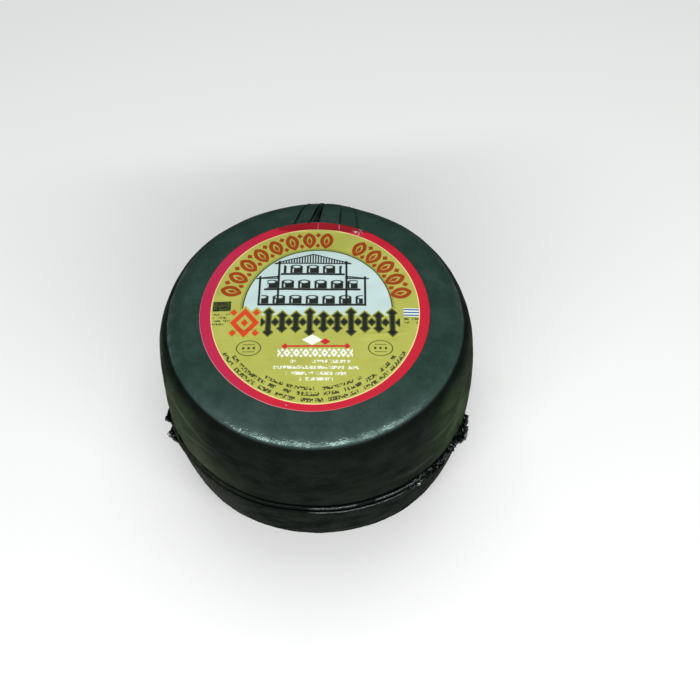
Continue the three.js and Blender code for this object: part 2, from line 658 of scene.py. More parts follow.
    def pleat_relief(self, r: Array, z: Array, azimuth: Array) -> tuple[Array, ...]:
        """The folds at the back.

        Args:
            r: the radii of the points.
            z: their heights.
            azimuth: their azimuths.

        Returns:
            How far they raise the film, the painted shade in the folds, and the painted glint on the folds'
            backs, each from 0 to 1.
        """
        away = self.top_distance(r, z)
        paler = 0.6 * smooth(away, 8 * MM, 22 * MM)
        marked = smooth(away, -1.0 * MM, 0.0) * (z > self.seam.top) * (1 - paler)
        shown = marked * smooth(away, 0.7 * MM, 2.6 * MM)
        lift, fold, fold_glint = 0.0 * r, 0.0 * r, 0.0 * r
        for pleat in self.pleats:
            spread = Pleat.GATHERED + (1 - Pleat.GATHERED) * np.exp(-away / pleat.closing)
            bearing = np.radians(Pleat.FOOT + (pleat.start - Pleat.FOOT) * spread)
            beside = -turned_from(azimuth, BACK + bearing) * r
            ridge = hump(beside, pleat.width) - 0.75 * hump(beside - 2.1 * pleat.width, pleat.width)
            lift += pleat.height * ridge * shown
            # Painted shade in each pleat's fold, and a painted glint on the pleat's back.
            strength = marked * pleat.height / MM
            fold = np.maximum(fold, strength * hump(beside - pleat.width, 1.35 * pleat.width))
            fold_glint = np.maximum(fold_glint, strength * hump(beside + 1.3 * pleat.width, 1.0 * pleat.width))
        return lift, np.clip(1.7 * fold, 0, 1), 0.7 * fold_glint

    def seam_relief(self, r: Array, z: Array, azimuth: Array) -> tuple[Array, Array]:
        """The grooves beside the welds, and the film drawn tight towards the bag's corners.

        Args:
            r: the radii of the points.
            z: their heights.
            azimuth: their azimuths.

        Returns:
            How far they raise the film, and the painted shade in the grooves above and under the welds,
            from 0 to 1.
        """
        seam = self.seam
        along = seam.along(azimuth) * self.on_wall(r)
        over_top = z - seam.level(azimuth)
        under_foot = -over_top - seam.width
        above = hump(over_top - 1.5 * MM, 1.3 * MM) * along
        under = hump(under_foot - 1.6 * MM, 1.0 * MM) * along
        drawn = hump(over_top + seam.width / 2, 9 * MM) * along
        lift = 0.7 * MM * drawn - seam.groove * (above + 0.6 * under)
        # Painted shade: the film is marked dark in the grooves above and under the welds.
        dark_above = smooth(over_top, -0.5 * MM, 0.5 * MM) * smooth(over_top, 3.6 * MM, 2.6 * MM)
        dark_under = smooth(under_foot, -0.5 * MM, 0.2 * MM) * smooth(under_foot, 2.6 * MM, 1.7 * MM)
        fold = np.maximum(dark_above, dark_under) * along
        for bearing in seam.ends():
            sideways = turned_from(azimuth, bearing) * r
            upwards = over_top + seam.width / 2
            reach, angle = np.hypot(sideways, upwards), np.arctan2(upwards, sideways)
            strength = np.exp(-reach / (13 * MM)) * smooth(reach, 0.0, 5 * MM) * self.on_wall(r)
            rays = np.cos(7 * angle + 3 * bearing) + 0.6 * np.cos(12 * angle + 1.3 * bearing)
            lift += 0.42 * MM * strength * rays
        return lift, fold

    def crease_relief(self, r: Array, z: Array, azimuth: Array) -> Array:
        """Returns: how far the long faint creases round the wall raise the film."""
        lift = 0.0 * r
        wall = (r > 0.85 * self.rim_radius) & (z > self.seam.top + 5 * MM)
        for bearing, length, level, slope, height in self.wall_creases:
            turn = np.degrees(turned_from(azimuth, radians(bearing)))
            line = (level - slope * turn) * MM + 0.8 * MM * np.sin(turn / 3.1)
            lift += height * MM * hump(z - line, 0.9 * MM) * hump(turn, length) * wall
        return lift

    def puckers(self, r: Array, z: Array, azimuth: Array) -> Array:
        """Returns: how far the film is puckered in, round the underside."""
        underneath = (z < 2 * MM) * smooth(r, 0.45 * self.rim_radius, 0.8 * self.rim_radius)
        waves = np.cos(34 * azimuth + 1.5 * np.sin(5 * azimuth)) + np.cos(21 * azimuth)
        return -0.12 * MM * underneath * (1 + 0.5 * waves)

    def film(self, r: Array, z: Array, azimuth: Array) -> tuple[Array, ...]:
        """All of the film's relief.

        Args:
            r: the radii of the points.
            z: their heights.
            azimuth: their azimuths.

        Returns:
            How far it stands off the even form, the painted shade in its folds and grooves, and the painted
            glint on its creases and the folds' backs, each from 0 to 1.
        """
        pleats, pleat_shade, fold_glint = self.pleat_relief(r, z, azimuth)
        seams, seam_shade = self.seam_relief(r, z, azimuth)
        creases = self.crease_relief(r, z, azimuth)
        on_top = smooth(z, self.height - 8 * MM, self.height - 2 * MM)
        lift = self.body(r, z, azimuth) + self.puckers(r, z, azimuth) + pleats + seams + creases
        lift = lift - self.dip(r, azimuth) * on_top
        return lift, np.maximum(pleat_shade, seam_shade), np.clip(creases / (0.3 * MM) + fold_glint, 0, 1)

    def top(self, x: Array, y: Array) -> Array:
        """Returns: the film's height at places on the top face."""
        r = np.hypot(x, y)
        level = self.height - self.crown * (r / self.label_radius) ** 2
        return level + self.film(r, level, np.arctan2(y, x))[0]


# --------------------------------------------------------------------------- finishes


@dataclass(frozen=True)
class FilmFinish:
    """Dark green-black shrink film: painted lighter on top as if lit from above, with a painted sheen near
    the front, near black on the wall, glossy at the front edge.
    """

    name: str = "shrink_film"
    lit_top_tint: Colour = (0.0170, 0.0350, 0.0285)
    front_sheen_tint: Colour = (0.0350, 0.0540, 0.0500)
    wall_tint: Colour = (0.0040, 0.0056, 0.0046)
    olive_patch_and_reflection_tint: Colour = (0.0300, 0.0470, 0.0210)
    left_reflection_tint: Colour = (0.0420, 0.0560, 0.0340)
    left_low_reflection_tint: Colour = (0.0270, 0.0290, 0.0250)
    crease_glint_tint: Colour = (0.0900, 0.1100, 0.0850)
    fold_shade_tint: Colour = (0.0004, 0.0006, 0.0005)
    dust_tint: Colour = (0.3500, 0.4000, 0.3800)
    gloss_tint: tuple[float, float, float, float] = (0.70, 1.0, 0.92, 1.0)
    bare_gloss: float = 0.075  # the share of gloss that is left on the wall
    gloss_specular: float = 0.75
    grain: float = 1.25 * MM
    lit_top_from: Pair = (0.66, 0.75)  # how far up it faces where the wall's tint gives way to the top's painted light
    gloss_from: Pair = (0.69, 0.75)  # and where the glossy edge begins
    wall_below: Pair = (0.6, 0.3)  # and where the wall's olive patches and painted reflection begin

    def material(self) -> Material:
        """Returns: the material. It reads where the mesh holds painted fold shade and painted crease
        glints, and where it faces up or lies under a weld.
        """
        shader = Shader(self.name)
        place = shader.place()
        x, y, z = shader.split(place)
        fold, crease = shader.attribute("fold"), shader.attribute("crease")
        upward, below = shader.attribute("upward"), shader.attribute("below")
        drawn = shader.vector("MULTIPLY", place, (1.0, 1.0, 1.9)).outputs[0]
        cloud = shader.noise(drawn, 11 * MM, 3.0, 0.6)
        # Painted light: the film is painted lighter where it faces up, as if lit from above, and lighter
        # still near the front as a painted sheen.
        front_sheen = y.ramp(-32 * MM, -68 * MM) * (upward.ramp(0.98, 0.80) * 0.5 + 0.5)
        top = shader.mix(front_sheen, self.lit_top_tint, self.front_sheen_tint)
        colour = shader.mix(upward.ramp(*self.lit_top_from), self.wall_tint, top)
        patches = shader.noise(shader.turned(place), 26 * MM, 3.0).ramp(0.33, 0.68)
        # Painted reflection: the wall is painted lighter olive towards its left and right edges, where it
        # reflects the pale surroundings; a little olive also lies in random patches.
        sides = abs(x).ramp(48 * MM, 74 * MM) * (~below * 0.85 + 0.15)
        wall = upward.ramp(*self.wall_below)
        olive = patches * 0.07 + sides * (patches * 0.6 + 0.4)
        colour = shader.mix(olive * wall, colour, self.olive_patch_and_reflection_tint)
        # Painted reflection: the left wall is painted lighter, satin olive above the welds and grey below
        # them.
        left = x.ramp(-26 * MM, -64 * MM) * wall
        colour = shader.mix(left * z.ramp(84 * MM, 58 * MM) * ~below * 0.7, colour, self.left_reflection_tint)
        colour = shader.mix(left * below * 0.8, colour, self.left_low_reflection_tint)
        lighter = shader.vector("SCALE", colour, scale=1.45).outputs[0]
        mottle = shader.noise(place, 2.2 * MM, 2.0, 0.6)
        uneven = cloud.ramp(0.30, 0.75) * 0.6 + mottle.ramp(0.35, 0.8) * 0.4
        colour = shader.mix(uneven * (upward.ramp(0.5, 0.8) * 0.5 + 0.5), colour, lighter)
        # Painted highlight on the creases and the pleats' backs, then painted shade in the folds and
        # grooves.
        colour = shader.mix(crease * 0.45, colour, self.crease_glint_tint)
        colour = shader.mix(fold, colour, self.fold_shade_tint)
        dust = shader.specks(place, 7 * MM, 0.32 * MM, 0.14)
        colour = shader.mix(dust * 0.5, colour, self.dust_tint)
        drift = shader.noise(place, 5 * MM)
        slow = shader.bump(drift, 0.16 * MM)
        edge = upward.ramp(*self.gloss_from) * upward.ramp(1.0, 0.86)
        grain = shader.noise(place, self.grain, 2.0, 0.65) * (edge * 0.85 + 0.15)
        polish = drift.ramp(0.30, 0.62) * cloud.ramp(0.30, 0.60) * 0.75 + 0.25
        scuffed = y.ramp(-10 * MM, 45 * MM) * 0.9
        fainter = x.ramp(0.0, 45 * MM) * 0.3
        gloss = edge * polish * ~scuffed * ~fainter | cloud.ramp(0.2, 0.8) * self.bare_gloss
        shader.lay_over(
            gloss * ~fold,
            Base_Color=colour,
            Roughness=drift.ramp(0.25, 0.8) * 0.06 + 0.12,
            Normal=shader.bump(grain, 0.19 * MM, slow),
            Specular_IOR_Level=self.gloss_specular,
            Specular_Tint=self.gloss_tint,
        )
        return shader.finish(
            Base_Color=colour,
            Roughness=drift.ramp(0.25, 0.8) * 0.12 + 0.6,
            Normal=shader.bump(mottle, 0.05 * MM, slow),
            Specular_IOR_Level=0.0,
        )


@dataclass(frozen=True)
class WeldedFinish:
    """The doubled film of the welds and ears: black, finely crumpled, with glossy crests, glints painted on
    the crests and shade painted in the groove.
    """

    name: str = "welded_film"
    tint: Colour = (0.0035, 0.0050, 0.0042)
    olive_patch_and_reflection_tint: Colour = (0.0200, 0.0250, 0.0170)
    weld_glint_tint: Colour = (0.1500, 0.1750, 0.1650)
    gathered_tint: Colour = (0.0010, 0.0015, 0.0012)
    groove_shade_tint: Colour = (0.0004, 0.0006, 0.0005)
    gloss_tint: tuple[float, float, float, float] = (0.80, 1.0, 0.95, 1.0)
    bare_gloss: float = 0.08  # the share of gloss away from the crests and the crumpled stretch

    def material(self) -> Material:
        """Returns: the material. It reads where the mesh has its crests and its groove, and is crumpled."""
        shader = Shader(self.name)
        place = shader.place()
        crest, crumpled, groove = (shader.attribute(name) for name in ("crest", "crumpled", "groove"))
        crumple = shader.noise(place, 2.1 * MM, 1.0)
        fine = shader.noise(place, 0.6 * MM, 1.0)
        ribs = shader.noise(shader.vector("MULTIPLY", place, (1.0, 1.0, 0.2)).outputs[0], 2.4 * MM, 1.0)
        # Painted reflection: the weld is painted lighter olive towards its left end, in uneven ribs.
        left = shader.split(place)[0].ramp(-20 * MM, -62 * MM)
        colour = shader.mix(left * (ribs.ramp(0.3, 0.7) * 0.6 + 0.4), self.tint, self.olive_patch_and_reflection_tint)
        colour = shader.mix(crumpled, colour, self.gathered_tint)
        # Painted shade in the groove, and painted glints along the crests.
        colour = shader.mix(groove, colour, self.groove_shade_tint)
        colour = shader.mix(crest * fine.ramp(0.35, 0.6) * 0.55, colour, self.weld_glint_tint)
        normal = shader.bump(crumple * (crumpled * 0.92 + 0.08), 0.9 * MM, shader.bump(fine, 0.03 * MM))
        shader.lay_over(
            crest | crumple.ramp(0.52, 0.60) * crumpled * 0.5 | fine * self.bare_gloss * ~groove,
            Base_Color=colour,
            Roughness=fine * 0.08 + 0.08,
            Normal=normal,
            Specular_IOR_Level=0.9,
            Specular_Tint=self.gloss_tint,
        )
        return shader.finish(Base_Color=colour, Roughness=0.6, Normal=normal, Specular_IOR_Level=0.0)


@dataclass(frozen=True)
class CheeseFinish:
    """Dense pressed cheese: pale straw, a little oily, with fine curd marks."""

    name: str = "pressed_cheese"
    paste: Colour = (0.78, 0.62, 0.33)
    deeper: Colour = (0.66, 0.47, 0.20)

    def material(self) -> Material:
        """Returns: the material."""
        shader = Shader(self.name)
        place = shader.place()
        curd = shader.noise(place, 6 * MM, 4.0, 0.6)
        pores = shader.specks(place, 5 * MM, 0.9 * MM, 0.4)
        colour = shader.mix(curd.ramp(0.3, 0.7), self.paste, self.deeper)
        normal = shader.bump(~pores, 0.5 * MM, shader.bump(curd, 0.6 * MM))
        return shader.finish(Base_Color=colour, Roughness=curd * 0.2 + 0.45, Normal=normal)


@dataclass(frozen=True)
class FloorFinish:
    """A plain pale studio floor."""

    name: str = "studio_floor"
    colour: Colour = (0.82, 0.82, 0.815)

    def material(self) -> Material:
        """Returns: the material."""
        shader = Shader(self.name)
        return shader.finish(Base_Color=self.colour, Roughness=0.75, Specular_IOR_Level=0.15)


class Ink(Enum):
    """The label's inks and bare paper, as linear colours."""

    FOIL = (0.375, 0.388, 0.072)
    FOIL_LIGHT = (0.460, 0.460, 0.110)
    FOIL_DEEP = (0.270, 0.290, 0.048)
    CRIMSON = (0.480, 0.010, 0.028)
    MAGENTA = (0.430, 0.014, 0.058)
    # crimson darkened as painted shade, for the back of the rim
    SHADED_CRIMSON = (0.270, 0.005, 0.013)
    CREAM = (0.800, 0.700, 0.330)
    PAPER = (0.560, 0.480, 0.520)
    PANEL = (0.480, 0.610, 0.600)
    WHITE = (0.800, 0.830, 0.740)
    BLACK = (0.010, 0.014, 0.010)
    OLIVE = (0.045, 0.060, 0.012)
    RUST = (0.290, 0.045, 0.004)
    VERMILION = (0.560, 0.050, 0.012)
    RED = (0.500, 0.018, 0.020)
    BLUE = (0.025, 0.110, 0.300)


@dataclass
class Press:
    """Prints shapes on a colour. Lengths are in label radii, x to the right and y towards the back."""

    shader: Shader
    place: Socket  # the place on the label, in label radii
    colour: object
    soft: float = 0.005  # the width of an edge
    stretch: float = 0.036  # how much the border is stretched towards the front

    def __post_init__(self) -> None:
        """Works out the coordinates that the shapes share."""
        self.x, self.y, _ = self.shader.split(self.place)
        self.radius = self.shader.length(self.place)
        drawn_in = self.y * (1.0 - self.stretch * (self.y < 0.0))
        self.reach = self.length(self.x, drawn_in)  # the radius that the border is printed by
        self.angle = self.shader.math("ARCTAN2", self.y, self.x)

    def ink(self, mask: Value, ink: Ink) -> None:
        """Lays an ink on the colour so far, where the mask is."""
        self.colour = self.shader.mix(mask, self.colour, ink.value)

    def stamp(self, distance: Value, ink: Ink) -> None:
        """Lays an ink on the colour so far, inside a shape."""
        self.ink(self.fill(distance), ink)

    def length(self, x: Value, y: Value) -> Value:
        """Returns: how far x and y lie from zero together."""
        return self.shader.length(self.shader.joined(x, y))

    def union(self, *distances: Value) -> Value:
        """Returns: the signed distance to several shapes as one."""
        return functools.reduce(lambda first, second: first & second, distances)

    def overlap(self, *distances: Value) -> Value:
        """Returns: the signed distance to what is inside every one of several shapes."""
        return functools.reduce(lambda first, second: first | second, distances)

    def disc(self, centre: Pair, radius: float) -> Value:
        """Returns: the signed distance to a disc."""
        from_centre = self.shader.vector("DISTANCE", self.place, (*centre, 0.0))
        return Value(self.shader, from_centre.outputs["Value"]) - radius

    def oval(self, x: Value, y: Value, centre: Pair, half: Pair) -> Value:
        """Returns: a rough signed distance to an oval, given its centre and half sizes."""
        across, up = (x - centre[0]) * (1 / half[0]), (y - centre[1]) * (1 / half[1])
        return (self.length(across, up) - 1.0) * min(half)

    def box(self, x: Value, y: Value, centre: Pair, half: Pair) -> Value:
        """Returns: the signed distance to an upright box, given its centre and half sizes."""
        return self.overlap(abs(x - centre[0]) - half[0], abs(y - centre[1]) - half[1])

    def fill(self, distance: Value) -> Value:
        """Returns: the mask inside a shape."""
        return distance.inside(self.soft)

    def line(self, distance: Value, width: float) -> Value:
        """Returns: the mask of a line of this width along a shape's edge."""
        return (abs(distance) - width / 2).inside(self.soft)

    def repeat(self, value: Value, period: float, start: float = 0.0) -> Value:
        """Returns: the value counted from the middle of the nearest repeat."""
        return (value - (start - period / 2)) % period - period / 2

    def small_print(self, u: Value, v: Value, half: Pair, pitch: float, seed: float) -> Value:
        """A line of unreadable small marks, in word-like groups.

        Args:
            u: the place along the line, from its middle.
            v: the place across the line, from its middle.
            half: the line's half length and half height.
            pitch: the width of a mark.
            seed: any number, to make this line differ from the others.

        Returns:
            The mask.
        """
        marks = self.shader.noise(self.shader.joined(u, v * 0.7, 5 * seed), pitch, 1.0, 0.4)
        words = self.shader.noise(self.shader.joined(u, 3.1, 5 * seed), 5.0 * pitch, 0.0)
        shown = marks.ramp(0.450, 0.50) & words.ramp(0.35, 0.38)
        return shown & self.fill(self.box(u, v, (0.0, 0.0), half))


@dataclass(frozen=True)
class LabelFinish:
    """Coated paper, printed gold-green with a crimson rim, generic ornament and a plain drawing."""

    name: str = "printed_label"
    roughness: float = 0.40
    rim: float = 0.908  # where the crimson rim begins
    trim: float = 1.002  # where the print ends
    slip: Pair = (0.005, 0.004)  # how far the print sits off the paper's middle

    def material(self, label_radius: float) -> Material:
        """Builds the finish.

        Args:
            label_radius: the label's radius, in metres.

        Returns:
            The material.
        """
        shader = Shader(self.name)
        scale = 1 / label_radius
        flat = shader.vector("MULTIPLY", shader.place(), (scale, scale, 0.0)).outputs[0]
        slipped = shader.vector("SUBTRACT", flat, (*self.slip, 0.0)).outputs[0]
        press = Press(shader, slipped, Ink.FOIL.value)
        self._field(press)
        self._panel(press)
        self._shelves(press)
        self._leaf_band(press)
        self._picket_row(press)
        self._side_marks(press)
        self._centre_mark(press)
        self._white_lines(press)
        self._small_print(press)
        field_mask = press.fill(press.reach - self.rim)
        self._rim(press)
        self._wear(press)
        fibre = shader.noise(flat, 0.012, 2.0, 0.6)
        rumple = shader.noise(flat, 0.11)
        normal = shader.bump(rumple, 0.10 * MM, shader.bump(fibre, 0.012 * MM))
        return shader.finish(
            Base_Color=press.colour,
            Metallic=field_mask * 0.18,
            Roughness=fibre * 0.08 + self.roughness,
            Normal=normal,
            Specular_IOR_Level=0.12,
        )

    def _field(self, press: Press) -> None:
        """Prints the gold-green field, a little uneven."""
        cloud = press.shader.noise(press.place, 0.34)
        press.ink(cloud.ramp(0.35, 0.75) * 0.5, Ink.FOIL_LIGHT)
        streak = press.shader.noise(press.shader.joined(press.x * 0.25, press.y), 0.05, 1.0)
        press.ink(streak.ramp(0.55, 0.8) * 0.25, Ink.FOIL_DEEP)

    def _panel(self, press: Press) -> None:
        """Prints the white half-round panel with its dark outline."""
        dome = press.disc((0.02, -0.005), 0.643)
        above = press.fill(-1.0 * press.y - 0.075)
        press.ink(press.line(dome - 0.016, 0.03) & above, Ink.FOIL_DEEP)
        press.ink(press.line(dome - 0.006, 0.012) & above, Ink.OLIVE)
        press.ink(press.fill(dome) & above, Ink.PANEL)

    def _shelves(self, press: Press) -> None:
        """Draws ripening shelves under a low roof, with dark wheels of cheese on them, in black line."""
        x, y = press.x + 0.03, press.y
        for level, half, start in ((0.040, 0.470, 0.0), (0.205, 0.425, 0.0725), (0.370, 0.285, 0.0)):
            press.stamp(press.box(x, y, (0.0, level), (half, 0.011)), Ink.BLACK)
            within = press.fill(abs(x) - (half - 0.025))
            u = press.repeat(x, 0.145, start)
            body = press.box(u, y, (0.0, level + 0.043), (0.055, 0.032))
            lid = press.oval(u, y, (0.0, level + 0.080), (0.057, 0.023))
            press.ink(press.fill(press.union(body, lid)) & within, Ink.BLACK)
            shine = press.box(u, y, (-0.030, level + 0.040), (0.005, 0.020))
            press.ink((press.fill(lid + 0.010) | press.fill(shine)) & within, Ink.PANEL)
        for post, tall in ((0.300, 0.245), (0.465, 0.160)):
            press.stamp(press.box(abs(x), y, (post, 0.030 + tall), (0.010, tall)), Ink.BLACK)
        for low, rise, wide in ((0.490, 0.105, 0.345), (0.325, 0.055, 0.500)):
            roof = press.overlap(abs(x) * (rise / wide) + y - low - rise, low - y)
            eaves = press.fill(abs(x) - wide)
            outside = press.fill(0.290 - abs(x)) if wide > 0.4 else eaves
            tiles = press.fill(abs(press.repeat(x, 0.024)) - 0.0065)
            press.ink((press.fill(roof) & tiles | press.line(roof, 0.013)) & eaves & outside, Ink.BLACK)

    def _leaf_band(self, press: Press) -> None:
        """Prints a band of upright leaves on an arc, eight and five of them with a gap between."""
        middle, unit = 0.769, 11.75
        half_width, half_height = 0.060, 0.099
        bow = (half_width**2 + half_height**2) / (2 * half_width)
        period = radians(unit) * middle
        u = press.repeat(press.angle * middle, period, radians(7.0 + unit / 2) * middle)
        v = press.radius - middle
        leaf_edge = press.length(abs(u) + (bow - half_width), v) - bow
        vein = (abs(u) * 2.6 + abs(v + 0.008) - 0.048) * 0.4
        bud = (period / 2 - abs(u)) * 1.2 + abs(abs(v) - 0.066) - 0.030
        shape = press.union(abs(leaf_edge + 0.0175) - 0.0175, vein)
        degrees = press.angle * (180 / pi)
        past_first, past_second = abs(degrees - 124.5) - 4 * unit, abs(degrees - 36.375) - 2.5 * unit
        past = press.union(past_first, past_second) * (middle * pi / 180)
        press.ink(press.fill(shape) & press.fill(past), Ink.RUST)
        press.ink(press.fill(bud * 0.7) & press.fill(past + 0.3 * period), Ink.RUST)

    def _picket_row(self, press: Press) -> None:
        """Prints the bold row of pointed bars and lozenges across the middle, led by a red lozenge."""
        level, period = -0.143, 0.1185
        u, v = press.repeat(press.x, period, -0.400), press.y - level
        tall = press.fill(abs(press.repeat(press.x, 3 * period, -0.400)) - period / 2) * 0.036
        top = abs(v) - 0.066 - tall
        bar = press.overlap(abs(u) - 0.0185, top)
        point = (abs(u) + abs(top) - 0.038) * 0.7
        link = (abs(abs(u) - period / 2) * 1.1 + abs(v) - 0.036) * 0.7
        shape = press.union(bar, point, link)
        row = press.fill(abs(press.x - 0.133) - 0.600)
        beside, rise = abs(press.x + 0.605), abs(v + 0.005)
        around = beside * 1.20 + rise
        first = (abs(around - 0.118) - 0.034) * 0.62
        core = (around - 0.040) * 0.62
        spurs = (abs(beside - 0.098) + abs(rise - 0.105) - 0.034) * 0.7
        lead = press.union(first, core, spurs)
        press.ink((press.fill(shape - 0.017) & row) | press.fill(lead - 0.017), Ink.FOIL)
        press.ink(press.line(shape - 0.004, 0.008) & row, Ink.OLIVE)
        press.ink(press.fill(shape) & row, Ink.BLACK)
        press.stamp(lead, Ink.VERMILION)

    def _side_marks(self, press: Press) -> None:
        """Prints the small marks at the two sides and the pair of ovals."""
        x, y = press.x, press.y
        block = press.fill(press.box(x, y, (-0.812, 0.026), (0.078, 0.052)))
        grain = press.shader.noise(press.place, 0.022, 1.0).ramp(0.5, 0.58)
        press.ink(block, Ink.OLIVE)
        press.ink(block & grain, Ink.BLACK)
        flag = press.fill(press.box(x, y, (0.838, -0.034), (0.072, 0.044)))
        press.ink(flag, Ink.WHITE)
        press.ink(flag & press.fill(abs(press.repeat(y, 0.0293, -0.034)) - 0.0075), Ink.BLUE)
        for side, rows in ((-0.808, (-0.062, -0.095, -0.128, -0.161)), (0.848, (-0.104, -0.140))):
            for level in rows:
                mask = press.small_print(x - side, y - level, (0.080, 0.010), 0.011, level)
                press.ink(mask, Ink.OLIVE)
        out, middle = abs(x - 0.003), (0.557, -0.405)
        pair = press.oval(out, y, middle, (0.102, 0.074))
        press.ink(press.line(pair, 0.007), Ink.OLIVE)
        dots = press.oval(press.repeat(out, 0.045, middle[0]), y, (0.0, middle[1]), (0.011, 0.013))
        press.ink(press.fill(dots) & press.fill(pair + 0.020), Ink.OLIVE)
        rules = press.line(press.box(out, y, middle, (0.055, 0.036)), 0.006)
        press.ink(rules & press.fill(abs(out - middle[0]) - 0.050), Ink.OLIVE)

    def _centre_mark(self, press: Press) -> None:
        """Prints a white and a red lozenge over a plain red rule, which ends in two small lozenges."""
        x, y = press.x, press.y
        out = abs(x - 0.015)
        rule = press.box(out, y, (0.0, -0.390), (0.250, 0.0085))
        ends = (abs(out - 0.262) + abs(y + 0.390) - 0.030) * 0.7
        white = (abs(x + 0.018) * 0.62 + abs(y + 0.327) - 0.054) * 0.8
        red = (abs(x - 0.092) * 0.75 + abs(y + 0.344) - 0.034) * 0.8
        press.stamp(press.union(rule, ends), Ink.RED)
        press.stamp(white, Ink.WHITE)
        press.stamp(red, Ink.RED)

    def _white_lines(self, press: Press) -> None:
        """Prints a bold row of lozenges in white, with four finer lines of marks under it."""
        x, y = press.x, press.y
        u, v = press.repeat(x, 0.079, 0.010), y + 0.457
        lozenge = (abs(u) * 1.35 + abs(v) - 0.043) * 0.6
        eye = (abs(u) * 1.35 + abs(v) - 0.014) * 0.6
        between = (abs(abs(u) - 0.0395) + abs(abs(v) - 0.030) - 0.016) * 0.7
        row = press.fill(abs(x - 0.010) - 0.3160)
        press.ink(((press.fill(lozenge) & ~press.fill(eye)) | press.fill(between)) & row, Ink.WHITE)
        for level, half in ((-0.542, 0.285), (-0.600, 0.360), (-0.657, 0.250), (-0.710, 0.140)):
            press.ink(press.small_print(x - 0.02, y - level, (half, 0.015), 0.014, level) * 0.8, Ink.WHITE)

    def _small_print(self, press: Press) -> None:
        """Prints three arcs of fine dark marks along the lower edge."""
        turn = press.angle + pi / 2
        for radius, sweep, tall in ((0.772, 30.0, 0.014), (0.820, 55.0, 0.017), (0.872, 60.0, 0.017)):
            along = turn * radius
            half = (radians(sweep) * radius, tall)
            press.ink(press.small_print(along, press.reach - radius, half, 0.0145, radius) * 0.9, Ink.BLACK)

    def _rim(self, press: Press) -> None:
        """Prints the crimson rim, with painted shade on its back where it bends down, leaving the paper
        bare at its trimmed edge.
        """
        press.ink(press.line(press.reach - self.rim, 0.014), Ink.CREAM)
        rim = press.fill(self.rim - press.reach)
        press.ink(rim, Ink.CRIMSON)
        left = press.x.ramp(-0.2, -0.9)
        press.ink(rim & left, Ink.MAGENTA)
        # Painted shade: the rim is printed darker past a chord at the back, where the label bends down.
        back = (press.y + press.x * 0.04).ramp(0.872, 0.890) & press.fill(abs(press.x - 0.08) - 0.44)
        press.ink(rim & back, Ink.SHADED_CRIMSON)
        press.ink(press.fill(self.trim - press.radius) * 0.45, Ink.PAPER)

    def _wear(self, press: Press) -> None:
        """Wears the ink off a few specks of the rim and along the fine cracks at the back."""
        scuffed = press.disc((0.385, 0.885), 0.045).inside(0.05)
        press.ink(press.shader.noise(press.place, 0.028, 2.0, 0.6).ramp(0.54, 0.60) & scuffed, Ink.PAPER)
        stray = press.shader.specks(press.place, 0.11, 0.006, 0.10)
        press.ink(stray * 0.7, Ink.PAPER)
        wobble = press.shader.noise(press.place, 0.05, 1.0) * 0.02
        for place, strength in ((0.005, 0.25), (0.200, 0.45)):
            crack = (abs(press.x + wobble - (place + 0.01)) - 0.001).inside(0.005)
            press.ink(crack & press.y.ramp(0.86, 0.93) * strength, Ink.PAPER)


# --------------------------------------------------------------------------- the pieces


def carry(piece: Object, material: Material, node: str) -> None:
    """Dresses a piece and tells the frame about it.

    Args:
        piece: the piece.
        material: its finish.
        node: the CAD node that it stands for.
    """
    piece.data.materials.append(material)
    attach(piece, "root")
    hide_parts(node)
    log.info("%s: %d faces", piece.name, len(piece.data.polygons))


@dataclass
class CheeseBody:
    """The cheese itself, one pressed body a little inside the film."""

    form: WheelForm
    inset: float = 2.0 * MM
    spacing: float = 3.0 * MM
    columns: int = 160

    def build(self) -> Object:
        """Returns: the closed mesh of the cheese."""
        r, z, out_r, out_z = self.form.section(self.spacing)
        azimuth = np.linspace(-pi, pi, self.columns, endpoint=False)[None, :]
        r, z, out_r, out_z = (a[1:-1, None] + 0 * azimuth for a in (r, z, out_r, out_z))
        lift = self.form.body(r, z, azimuth) - self.inset
        lift += 0.1 * MM * Waves(5 * MM, 11).at(r * np.cos(azimuth), r * np.sin(azimuth), z)
        lift -= self.form.dip(r, azimuth) * (z > self.form.height - 8 * MM)
        return closed_rings("cheese_body", polar(r + out_r * lift, azimuth, z + out_z * lift))

    def dress(self, piece: Object) -> None:
        """Gives the cheese its finish and its place in the frame."""
        carry(piece, CheeseFinish().material(), "cheese_wheel")


@dataclass
class FilmSkin:
    """The bag's film, drawn tight over the whole wheel."""

    form: WheelForm
    spacing: float = 1.12 * MM
    back_columns: int = 216  # over the pleats
    other_columns: int = 264
    back_sweep: float = radians(33.0)

    def azimuths(self) -> Array:
        """Returns: the columns' azimuths, closer together over the pleats at the back."""
        first, last = BACK - self.back_sweep, BACK + self.back_sweep
        back = np.linspace(first, last, self.back_columns, endpoint=False)
        rest = last + np.linspace(0, 2 * pi - 2 * self.back_sweep, self.other_columns, endpoint=False)
        return np.concatenate([back, rest])

    def build(self) -> Object:
        """Returns: the closed mesh of the film, which holds the painted shade of its folds and grooves at
        each point.
        """
        r, z, out_r, out_z = self.form.section(self.spacing)
        azimuth = self.azimuths()[None, :]
        r, z, out_r, out_z = (a[1:-1, None] + 0 * azimuth for a in (r, z, out_r, out_z))
        lift, fold, crease = self.form.film(r, z, azimuth)
        points = polar(r + out_r * lift, azimuth, np.maximum(z + out_z * lift, 0.0))
        piece = closed_rings("film_skin", points)
        below = self.form.seam.below(z, azimuth)
        for name, values, at_foot, at_crown in (
            ("fold", fold, 0.0, 0.0),
            ("crease", crease, 0.0, 0.0),
            ("below", below, 1.0, 0.0),
            ("upward", out_z, -1.0, 1.0),
        ):
            hold(piece, name, np.append(values, [at_foot, at_crown]))
        return piece

    def dress(self, piece: Object) -> None:
        """Gives the film its finish and its place in the frame."""
        carry(piece, FilmFinish().material(), "shrink_bag")


